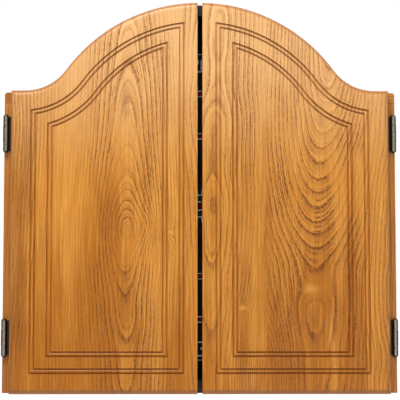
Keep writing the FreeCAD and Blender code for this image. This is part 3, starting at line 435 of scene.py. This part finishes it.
def oakMaterial(word, door):
    material, tree, inputs, place = newMaterial(
        f"{word}DoorOak", roughness=0.42, Coat_Weight=0.1, Coat_Roughness=0.22, Specular_IOR_Level=0.25)
    x, y, z = parts(tree, place)
    facing = facingOf(tree)
    lowest, highest = cadLow.z, cadHigh.z
    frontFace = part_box(f"{word}_door")[0].y

    def stave(key):
        return byStave(tree, x, door["joints"], door[key])

    pale = 0
    for knotX, knotZ, wide, tall, _, share in door["knots"]:
        heart = useGroup(tree, patch, Place=place, X=knotX, Z=knotZ, Wide=wide / 2, Tall=tall / 3)["Mask"]
        pale = calc(tree, "MAXIMUM", calc(tree, "MULTIPLY", heart, share), pale)
    grain = useGroup(tree, ringFigure, Place=place, Centre=stave("centre"), Level=stave("level"),
                     Lean=stave("lean"), Depth=stave("depth"), Fall=stave("fall"), Taper=stave("taper"),
                     Reach=stave("reach"), Ring=stave("ring"), Wander=stave("wander"), Seed=stave("seed"),
                     Swell=patches(tree, place, [knot[:5] for knot in door["knots"]]),
                     Plain=patches(tree, place, door["plains"]))

    # broad colour: painted light, paler towards the top and darker low down, streaky along the grain
    first = door["seed"][0]
    streak = noise(tree, stretched(tree, place, (75, 75, 4), (first, 0, first)), 1, 3)
    # painted light: the ramp over height lightens the top of the doors and darkens their lower part
    tone = calc(tree, "ADD", calc(tree, "ADD", grain["Tone"], stave("tone")),
                ramp(tree, z, lowest, highest, -0.2, 0.34))
    tone = calc(tree, "MULTIPLY_ADD", calc(tree, "SUBTRACT", streak, 0.5), stave("streak"), tone)
    colour = tint(tree, ramp(tree, tone, 0.28, 0.52), oakColours["deep"], oakColours["honey"])
    colour = tint(tree, ramp(tree, tone, 0.48, 1), colour, oakColours["pale"])
    colour = tint(tree, ramp(tree, grain["Fibre"], 0.3, 0.7, 0, 0.5), colour, oakColours["deep"])
    colour = tint(tree, ramp(tree, grain["Fibre"], 0.56, 0.3, 0, 0.3), colour, oakColours["pale"])

    # marks: smudges, a painted sheen on the upper part, ring lines, knots
    smudge = calc(tree, "MULTIPLY", patches(tree, place, door["smudges"]),
                  ramp(tree, grain["Fibre"], 0.2, 0.6, 0.5, 1))
    colour = tint(tree, smudge, colour, oakColours["smudge"])
    # painted sheen: the upper part of the doors washed paler, its ring lines too, as a lamp's reflection in
    # the finish
    colour = tint(tree, ramp(tree, z, 0.02, 0.26, 0, 0.62), colour, oakColours["paintedSheen"])
    line = tint(tree, ramp(tree, z, -0.02, 0.2), oakColours["line"], oakColours["lightLine"])
    colour = tint(tree, grain["Line"], colour, line)
    colour = tint(tree, pale, colour, oakColours["pale"])

    # stain soaked into the rounded edges and grooves, with painted shade on them; painted shade and floor
    # reflection along the foot
    flat = calc(tree, "ABSOLUTE", facing[1])
    # stain soaked into the end grain of the roundings, with painted shade where they turn away from the
    # front
    colour = tint(tree, ramp(tree, flat, 0.1, 0.85, 0.7, 0), colour, oakColours["edge"])
    # painted shade: roundings that face upwards are darkened against the lamp's highlight
    colour = tint(tree, ramp(tree, facing[2], 0.15, 0.6, 0, 0.6), colour, oakColours["edge"])
    # painted shade and floor reflection: a greyish band along the rounded foot of the doors
    foot = ramp(tree, z, lowest + 0.0055, lowest + 0.0065, 0.6, 0)
    colour = tint(tree, foot, colour, oakColours["foot"])
    # stain pooled in the grooves with painted shade, stronger in the level runs where a lamp above leaves
    # the upper walls dark
    steep = calc(tree, "LESS_THAN", flat, 0.72)
    grooveStainAndShade = calc(tree, "MULTIPLY", steep, calc(tree, "LESS_THAN", y, frontFace + 0.0026))
    aside = calc(tree, "ABSOLUTE", facing[0])
    grooveStainAndShade = calc(tree, "MULTIPLY", grooveStainAndShade, ramp(tree, aside, 0.5, 0.72, 0.5, 0.1))
    colour = tint(tree, grooveStainAndShade, colour, oakColours["quirk"])
    tree.links.new(colour, inputs["Base Color"])
    rough = calc(tree, "MAXIMUM", ramp(tree, grain["Pores"], 0, 1, 0.36, 0.44),
                 ramp(tree, flat, 0.3, 0.8, 0.7, 0.36))
    tree.links.new(rough, inputs["Roughness"])
    emboss(tree, inputs, calc(tree, "MULTIPLY", grain["Pores"], -1), 0.00006, 0.4)
    return material


for word, door in doorSettings.items():
    dress(oakMaterial(word, door), f"{word}_door")
print("doors finished")


# the box: stained outside, painted black inside

boxColours = {"wood": srgb(214, 142, 52), "deep": srgb(184, 110, 26), "line": srgb(96, 48, 8),
              "black": srgb(34, 31, 29), "dust": srgb(86, 80, 74)}
boxGrain = {"Centre": 0.5, "Level": 0.1, "Lean": 0.03, "Depth": 0.02, "Fall": 0.05, "Taper": 1.0,
            "Reach": 1.0, "Ring": 0.0048, "Wander": 0.024}
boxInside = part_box("right_side")[0].x + 0.0002


def boxMaterial(name, seed, turned, blackFaces):
    material, tree, inputs, place = newMaterial(name, roughness=0.45, Coat_Weight=0.08,
                                                        Coat_Roughness=0.35, Specular_IOR_Level=0.35)
    x, y, z = parts(tree, place)
    facing = facingOf(tree)
    along = place
    if turned:
        along = put(tree, "ShaderNodeCombineXYZ", z, y, x).outputs[0]
    # edges and faces both show grain, so depth counts as width
    ax, ay, az = parts(tree, along)
    spread = put(tree, "ShaderNodeCombineXYZ", calc(tree, "ADD", ax, ay), ay, az).outputs[0]
    grain = useGroup(tree, ringFigure, Place=spread, Seed=seed, **boxGrain)
    colour = tint(tree, ramp(tree, grain["Tone"], 0.3, 0.7), boxColours["deep"], boxColours["wood"])
    colour = tint(tree, calc(tree, "MULTIPLY", ramp(tree, grain["Fibre"], 0.3, 0.7), 0.3), colour,
                  boxColours["deep"])
    colour = tint(tree, calc(tree, "MULTIPLY", grain["Line"], 0.9), colour, boxColours["line"])
    reach = calc(tree, "LESS_THAN", calc(tree, "ABSOLUTE", x), boxInside)
    painted = calc(tree, "MULTIPLY", reach, blackFaces(tree, facing))
    dust = useGroup(tree, mottle, Place=place, Cloud=30.0, Speck=1200.0)
    dusty = calc(tree, "MULTIPLY", ramp(tree, dust["Speck"], 0.55, 0.75), 0.2)
    paint = tint(tree, dusty, boxColours["black"], boxColours["dust"])
    colour = tint(tree, painted, colour, paint)
    tree.links.new(colour, inputs["Base Color"])
    rough = ramp(tree, grain["Pores"], 0, 1, 0.4, 0.6)
    rough = calc(tree, "MAXIMUM", rough, calc(tree, "MULTIPLY", painted, 0.62))
    tree.links.new(rough, inputs["Roughness"])
    emboss(tree, inputs, calc(tree, "MULTIPLY", grain["Pores"], -1), 0.00015, 0.5)
    return material


def anyFace(tree, facing):
    return 1.0


def noFace(tree, facing):
    return 0.0


def underside(tree, facing):
    return calc(tree, "LESS_THAN", facing[2], 0.05)


def upperside(tree, facing):
    return calc(tree, "GREATER_THAN", facing[2], -0.5)


dress(boxMaterial("sideBoardOak", seed=2.1, turned=False, blackFaces=anyFace), "left_side", "right_side")
dress(boxMaterial("archedTopOak", seed=7.3, turned=True, blackFaces=underside), "arched_top")
dress(boxMaterial("bottomBoardOak", seed=12.9, turned=True, blackFaces=upperside), "bottom_board")
print("box finished")


# plain finishes

def speckled(name, base, fleck, roughness=0.6, metallic=0.0, cloud=40.0, speck=900.0, share=0.5,
             scratch=0.0, relief=0.0001):
    # a finish with cloudy unevenness, specks and scratches of a second colour
    material, tree, inputs, place = newMaterial(name, roughness, metallic)
    uneven = useGroup(tree, mottle, Place=place, Cloud=cloud, Speck=speck)
    mask = calc(tree, "MULTIPLY", ramp(tree, uneven["Cloud"], 0.35, 0.7), share)
    specks = calc(tree, "MULTIPLY", ramp(tree, uneven["Speck"], 0.5, 0.75), share * 0.6)
    mask = calc(tree, "ADD", mask, specks)
    mask = calc(tree, "ADD", mask, calc(tree, "MULTIPLY", uneven["Scratch"], scratch))
    colour = tint(tree, calc(tree, "MINIMUM", mask, 1.0), base, fleck)
    tree.links.new(colour, inputs["Base Color"])
    tree.links.new(ramp(tree, uneven["Cloud"], 0.3, 0.7, roughness * 0.85, min(1, roughness * 1.2)),
                   inputs["Roughness"])
    emboss(tree, inputs, uneven["Speck"], relief, 0.6)
    return material


pewterSettings = {"hollow": srgb(50, 46, 41), "paintedHighlight": srgb(146, 137, 120), "speck": srgb(44, 42, 38),
                  "barrelDepth": 0.0035}


def pewterMaterial():
    # old dark pewter with a painted highlight down the front of the barrel; its sides and the leaves keep
    # the dark colour
    material, tree, inputs, place = newMaterial("agedPewter", roughness=0.4, metallic=0.85)
    uneven = useGroup(tree, mottle, Place=place, Cloud=260.0, Speck=1500.0)
    # painted highlight: the barrel is lightened where it faces straight ahead
    front = ramp(tree, calc(tree, "MULTIPLY", facingOf(tree)[1], -1), 0.84, 0.995)
    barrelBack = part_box("left_upper_hinge_pin")[0].y + pewterSettings["barrelDepth"]
    barrel = calc(tree, "LESS_THAN", parts(tree, place)[1], barrelBack)
    paintedHighlight = calc(tree, "MULTIPLY", calc(tree, "MULTIPLY", front, barrel),
                  ramp(tree, uneven["Cloud"], 0.3, 0.6, 0.5, 1))
    colour = tint(tree, paintedHighlight, pewterSettings["hollow"], pewterSettings["paintedHighlight"])
    specks = calc(tree, "MULTIPLY", ramp(tree, uneven["Speck"], 0.56, 0.7), 0.5)
    colour = tint(tree, specks, colour, pewterSettings["speck"])
    tree.links.new(colour, inputs["Base Color"])
    tree.links.new(ramp(tree, uneven["Cloud"], 0.3, 0.7, 0.32, 0.52), inputs["Roughness"])
    emboss(tree, inputs, uneven["Cloud"], 0.0003, 0.5)
    return material


sisalSettings = {"bull": 0.00635, "outerBull": 0.0159, "trebleIn": 0.099, "trebleOut": 0.107,
                 "doubleIn": 0.162, "doubleOut": 0.170, "beds": 20}
sisalColours = {"black": srgb(30, 28, 26), "cream": srgb(214, 190, 142), "red": srgb(168, 34, 30),
        "green": srgb(26, 96, 52), "shadeBetweenFibres": srgb(52, 44, 36), "paleClouds": srgb(130, 116, 92)}


def sisalMaterial():
    # twenty dyed beds between the wires, with red and green scoring rings
    size = sisalSettings
    material, tree, inputs, place = newMaterial("dyedSisalBristle", roughness=0.85)
    x, _, z = parts(tree, place)
    square = calc(tree, "ADD", calc(tree, "MULTIPLY", x, x), calc(tree, "MULTIPLY", z, z))
    radius = calc(tree, "SQRT", square)
    turn = calc(tree, "DIVIDE", calc(tree, "ARCTAN2", x, z), 2 * math.pi / size["beds"])
    bed = calc(tree, "FLOOR", calc(tree, "ADD", turn, 2 * size["beds"] + 0.5))
    odd = calc(tree, "MODULO", bed, 2)

    def within(low, high):
        return calc(tree, "MULTIPLY", calc(tree, "GREATER_THAN", radius, low),
                    calc(tree, "LESS_THAN", radius, high))
    rings = calc(tree, "ADD", within(size["trebleIn"], size["trebleOut"]),
                 within(size["doubleIn"], size["doubleOut"]))
    single = tint(tree, odd, sisalColours["black"], sisalColours["cream"])
    scoring = tint(tree, odd, sisalColours["red"], sisalColours["green"])
    colour = tint(tree, rings, single, scoring)
    colour = tint(tree, calc(tree, "GREATER_THAN", radius, size["doubleOut"]), colour, sisalColours["black"])
    colour = tint(tree, calc(tree, "LESS_THAN", radius, size["outerBull"]), colour, sisalColours["green"])
    colour = tint(tree, calc(tree, "LESS_THAN", radius, size["bull"]), colour, sisalColours["red"])
    ends = tree.nodes.new("ShaderNodeTexVoronoi")
    ends.inputs["Scale"].default_value = 900
    tree.links.new(place, ends.inputs["Vector"])
    fibre = ramp(tree, ends.outputs["Distance"], 0.1, 0.6)
    cloud = noise(tree, place, 90, 3)
    # painted shade between the bristle ends
    colour = tint(tree, calc(tree, "MULTIPLY", fibre, 0.3), colour, sisalColours["shadeBetweenFibres"])
    # paler in soft random clouds
    colour = tint(tree, ramp(tree, cloud, 0.45, 0.8, 0, 0.08), colour, sisalColours["paleClouds"])
    tree.links.new(colour, inputs["Base Color"])
    emboss(tree, inputs, fibre, 0.0003, 0.7)
    return material


scoreSettings = {"halfColumn": 0.0205, "halfRule": 0.0006, "header": 0.034, "panel": srgb(38, 44, 42),
                 "chalk": srgb(150, 152, 148), "rule": srgb(222, 220, 210)}


def scoreMaterial():
    # a dark writing panel with ruled columns and wiped chalk
    left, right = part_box("right_scoreboard")
    middle = (left.x + right.x) / 2
    material, tree, inputs, place = newMaterial("chalkPanel", roughness=0.72)
    x, _, z = parts(tree, place)
    across = calc(tree, "SUBTRACT", calc(tree, "ABSOLUTE", x), middle)
    half = scoreSettings["halfRule"]
    column = calc(tree, "SUBTRACT", calc(tree, "ABSOLUTE", across), scoreSettings["halfColumn"])
    upright = calc(tree, "LESS_THAN", calc(tree, "ABSOLUTE", column), half)
    below = calc(tree, "SUBTRACT", z, right.z - scoreSettings["header"])
    level = calc(tree, "LESS_THAN", calc(tree, "ABSOLUTE", below), half)
    wiped = ramp(tree, noise(tree, stretched(tree, place, (9, 9, 22)), 1, 5, 0.65), 0.45, 0.8, 0.02, 0.3)
    colour = tint(tree, wiped, scoreSettings["panel"], scoreSettings["chalk"])
    rule = calc(tree, "MULTIPLY", calc(tree, "MAXIMUM", upright, level), 0.8)
    colour = tint(tree, rule, colour, scoreSettings["rule"])
    tree.links.new(colour, inputs["Base Color"])
    emboss(tree, inputs, noise(tree, place, 1600, 2), 0.0001, 0.4)
    return material


# record slot: material name, main and second colour, how rough and metallic, sizes of clouds and specks
plainFinishes = {
    "zinc_steel": {"name": "zincPlate", "base": srgb(176, 178, 178), "fleck": srgb(120, 122, 124),
                   "roughness": 0.34, "metallic": 1.0, "cloud": 120.0, "speck": 600.0, "scratch": 0.4},
    "screw_steel": {"name": "screwSteel", "base": srgb(168, 166, 160), "fleck": srgb(92, 90, 86),
                    "roughness": 0.32, "metallic": 1.0, "cloud": 300.0, "speck": 1500.0},
    "bright_wire": {"name": "brightWire", "base": srgb(186, 188, 190), "fleck": srgb(110, 112, 114),
                    "roughness": 0.28, "metallic": 1.0, "cloud": 200.0, "speck": 1600.0},
    "black_board": {"name": "paintedHardboard", "base": srgb(30, 28, 27), "fleck": srgb(62, 57, 52),
                    "roughness": 0.6, "cloud": 14.0, "speck": 700.0, "share": 0.3, "scratch": 0.3},
    "chipboard": {"name": "chipboard", "base": srgb(190, 160, 116), "fleck": srgb(120, 92, 60),
                  "roughness": 0.85, "cloud": 160.0, "speck": 420.0, "share": 0.9, "relief": 0.0004},
    "nylon": {"name": "nylon", "base": srgb(206, 202, 190), "fleck": srgb(170, 166, 156),
              "roughness": 0.5, "cloud": 60.0, "speck": 900.0, "share": 0.4},
    "catch_plastic": {"name": "mouldedCatch", "base": srgb(86, 60, 42), "fleck": srgb(58, 40, 28),
                      "roughness": 0.42, "cloud": 90.0, "speck": 1300.0},
    "magnet": {"name": "ferrite", "base": srgb(58, 58, 60), "fleck": srgb(96, 96, 98),
               "roughness": 0.5, "metallic": 0.3, "cloud": 120.0, "speck": 900.0},
    "bumper_rubber": {"name": "bumperRubber", "base": srgb(222, 216, 204), "fleck": srgb(180, 172, 158),
                      "roughness": 0.6, "cloud": 150.0, "speck": 1500.0, "share": 0.4},
}
finishes = {slot: speckled(**finish) for slot, finish in plainFinishes.items()}
finishes["dark_pewter"] = pewterMaterial()
finishes["trim_oak"] = boxMaterial("trimOak", seed=4.7, turned=False, blackFaces=noFace)
finishes["dyed_sisal"] = sisalMaterial()
finishes["score_surface"] = scoreMaterial()
for thing in nodes.values():
    named = thing.data.materials[0].name.split(".")[0]
    if named in finishes:
        dress(finishes[named], thing.name)
print("finishes given out")


# repeated fittings

def geometryTree(name, inputs):
    tree = bpy.data.node_groups.new(name, "GeometryNodeTree")
    tree.is_modifier = True
    for label, kind in inputs.items():
        tree.interface.new_socket(label, in_out="INPUT", socket_type=kind)
    tree.interface.new_socket("Geometry", in_out="OUTPUT", socket_type="NodeSocketGeometry")
    return tree, tree.nodes.new("NodeGroupInput").outputs, tree.nodes.new("NodeGroupOutput").inputs


def shape(tree, kind, values, **settings):
    # a geometry node with its inputs set or linked by name
    item = tree.nodes.new("GeometryNode" + kind)
    for setting, chosen in settings.items():
        setattr(item, setting, chosen)
    for socket in item.inputs:
        if not socket.enabled or socket.name not in values:
            continue
        chosen = values[socket.name]
        if isinstance(chosen, bpy.types.NodeSocket):
            tree.links.new(chosen, socket)
        else:
            socket.default_value = chosen
    return item.outputs[0]


def finishTree(tree, geometry, made, material):
    real = shape(tree, "RealizeInstances", {"Geometry": geometry})
    tree.links.new(shape(tree, "SetMaterial", {"Geometry": real, "Material": material}), made["Geometry"])


def runTree(name, tree, **values):
    mesh = bpy.data.meshes.new(name)
    carrier = bpy.data.objects.new(name + "Tree", mesh)
    bpy.context.scene.collection.objects.link(carrier)
    modifier = carrier.modifiers.new("shape", "NODES")
    modifier.node_group = tree
    sockets = {item.name: item.identifier for item in tree.interface.items_tree if item.in_out == "INPUT"}
    for label, chosen in values.items():
        modifier[sockets[label.replace("_", " ")]] = chosen
    return asMesh(carrier, name)


def makePinTree(material):
    # one straight row of small domed pins
    tree, given, made = geometryTree("pinRow", {
        "Count": "NodeSocketInt", "Start": "NodeSocketVector", "Step": "NodeSocketVector",
        "Head": "NodeSocketFloat", "Rise": "NodeSocketFloat"})
    row = shape(tree, "MeshLine", {"Count": given["Count"], "Start Location": given["Start"],
                                   "Offset": given["Step"]}, mode="OFFSET")
    ball = shape(tree, "MeshUVSphere", {"Segments": 10, "Rings": 6, "Radius": 1.0})
    size = put(tree, "ShaderNodeCombineXYZ", given["Head"], given["Rise"], given["Head"]).outputs[0]
    spread = shape(tree, "InstanceOnPoints", {"Points": row, "Instance": ball, "Scale": size})
    finishTree(tree, spread, made, material)
    return tree


def makeStapleTree(material):
    # wire staples over the spider, evenly round the board
    tree, given, made = geometryTree("stapleCircle", {
        "Count": "NodeSocketInt", "Radius": "NodeSocketFloat", "Turn": "NodeSocketVector",
        "Place": "NodeSocketVector", "Half Span": "NodeSocketFloat", "Wire": "NodeSocketFloat"})
    circle = shape(tree, "MeshCircle", {"Vertices": given["Count"], "Radius": given["Radius"]})
    arc = shape(tree, "CurveArc", {"Resolution": 8, "Radius": given["Half Span"], "Sweep Angle": math.pi},
                mode="RADIUS")
    profile = shape(tree, "CurvePrimitiveCircle", {"Resolution": 6, "Radius": given["Wire"]}, mode="RADIUS")
    tube = shape(tree, "CurveToMesh", {"Curve": arc, "Profile Curve": profile, "Fill Caps": True})
    upright = shape(tree, "Transform", {"Geometry": tube, "Rotation": (math.pi / 2, 0, math.pi / 2)})
    index = tree.nodes.new("GeometryNodeInputIndex").outputs[0]
    angle = calc(tree, "MULTIPLY", calc(tree, "DIVIDE", index, given["Count"]), 2 * math.pi)
    spin = put(tree, "ShaderNodeCombineXYZ", 0, 0, angle).outputs[0]
    spread = shape(tree, "InstanceOnPoints", {"Points": circle, "Instance": upright, "Rotation": spin})
    stood = shape(tree, "Transform", {"Geometry": spread, "Translation": given["Place"],
                                      "Rotation": given["Turn"]})
    finishTree(tree, stood, made, material)
    return tree


pinTree = makePinTree(finishes["screw_steel"])
stapleTree = makeStapleTree(finishes["bright_wire"])

pinSettings = {"head": 0.0014, "rise": 0.0006, "perLong": 4, "perShort": 3, "inset": 0.005}


def framePins(word):
    # panel pins that hold each scoreboard's frame
    low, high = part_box(f"{word}_score_frame")
    bar = pinSettings["inset"]
    face = high.y
    long = pinSettings["perLong"]
    short = pinSettings["perShort"]
    down = (high.z - low.z - 2 * bar) / (long - 1)
    over = (high.x - low.x - 2 * bar) / (short - 1)
    rows = [(long, (low.x + bar, face, low.z + bar), (0, 0, down)),
            (long, (high.x - bar, face, low.z + bar), (0, 0, down)),
            (short - 2, (low.x + bar + over, face, low.z + bar), (over, 0, 0)),
            (short - 2, (low.x + bar + over, face, high.z - bar), (over, 0, 0))]
    made = []
    for number, (count, start, step) in enumerate(rows):
        made.append(runTree(f"row{number}", pinTree, Count=count, Start=start, Step=step,
                            Head=pinSettings["head"], Rise=pinSettings["rise"]))
    piece = joined(f"{word}_frame_pins", made)
    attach(piece, f"{word}_door_set")


stapleSettings = {"count": 20, "inset": 0.0006, "sink": 0.0009, "halfSpan": 0.0016, "wire": 0.00045}


def boardStaples():
    low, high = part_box("wire_spider")
    halfBed = math.pi / stapleSettings["count"]
    piece = runTree("spider_staples", stapleTree, Count=stapleSettings["count"],
                    Radius=high.x - stapleSettings["inset"], Turn=(math.pi / 2, halfBed, 0.0),
                    Place=(0.0, low.y + stapleSettings["sink"], 0.0), Half_Span=stapleSettings["halfSpan"],
                    Wire=stapleSettings["wire"])
    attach(piece, "dart_board")


markSettings = {"marks": ["20", "19", "18", "17", "16", "15", "B"], "size": 0.026, "thick": 0.00008,
                "header": 0.05, "firstRow": 0.35}
enamel = speckled("scoreEnamel", base=srgb(226, 222, 210), fleck=srgb(176, 172, 160), roughness=0.6,
                  cloud=90.0, speck=1500.0)


def scoreNumbers(word):
    # the numbers to be closed, painted down the middle of each writing panel
    low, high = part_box(f"{word}_scoreboard")
    marks = markSettings["marks"]
    step = (high.z - low.z - markSettings["header"]) / len(marks)
    made = []
    for place, mark in enumerate(marks):
        curve = bpy.data.curves.new("mark", "FONT")
        curve.body = mark
        curve.size = markSettings["size"]
        curve.extrude = markSettings["thick"]
        curve.resolution_u = 4
        curve.align_x = "CENTER"
        curve.align_y = "CENTER"
        text = bpy.data.objects.new("mark", curve)
        bpy.context.scene.collection.objects.link(text)
        level = high.z - markSettings["header"] - step * (place + markSettings["firstRow"])
        stand = Matrix.Rotation(math.pi, 4, "Z") @ Matrix.Rotation(math.pi / 2, 4, "X")
        text.matrix_world = Matrix.Translation(((low.x + high.x) / 2, high.y, level)) @ stand
        made.append(asMesh(text, f"mark{place}"))
    piece = joined(f"{word}_score_numbers", made)
    piece.data.materials.clear()
    piece.data.materials.append(enamel)
    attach(piece, f"{word}_door_set")


for word in doorSettings:
    framePins(word)
    scoreNumbers(word)
boardStaples()
print("repeated fittings made")
